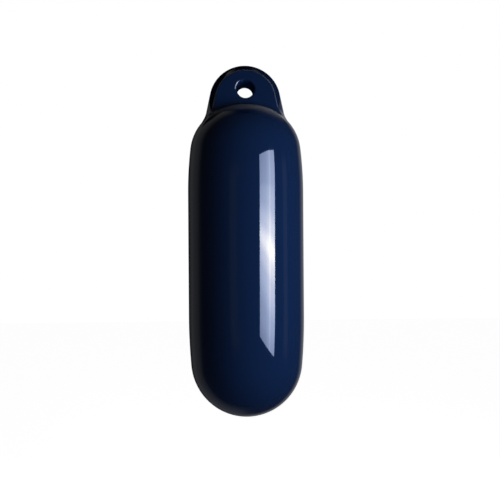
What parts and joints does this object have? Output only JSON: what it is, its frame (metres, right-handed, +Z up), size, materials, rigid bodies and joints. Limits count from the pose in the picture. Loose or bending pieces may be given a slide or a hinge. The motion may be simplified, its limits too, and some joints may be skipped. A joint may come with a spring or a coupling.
{
  "type": "pneumatic fender",
  "caption": "Hanging pneumatic boat fender: a navy blow-moulded PVC cylinder with domed ends, one solid rope eye on top and a screw-plug air valve in the bottom.",
  "frame": {"origin": "centre of the rope eye, midway between the lug's two faces", "axes": "+Z up along the fender's axis, the way it hangs; Y along the rope eye; the lug's front face looks toward -Y; XZ is the mould's parting plane"},
  "size_m": [0.1204, 0.1204, 0.3653],
  "materials": {
    "navy_pvc": "glossy soft PVC, navy blue",
    "valve_nylon": "satin black",
    "seal_rubber": "matt black",
    "plug_nylon": "satin natural white"
  },
  "bodies": {
    "root": {"fender_body": "navy_pvc", "valve_body": "valve_nylon", "valve_seal": "seal_rubber", "valve_plug": "plug_nylon"}
  },
  "joints": []
}
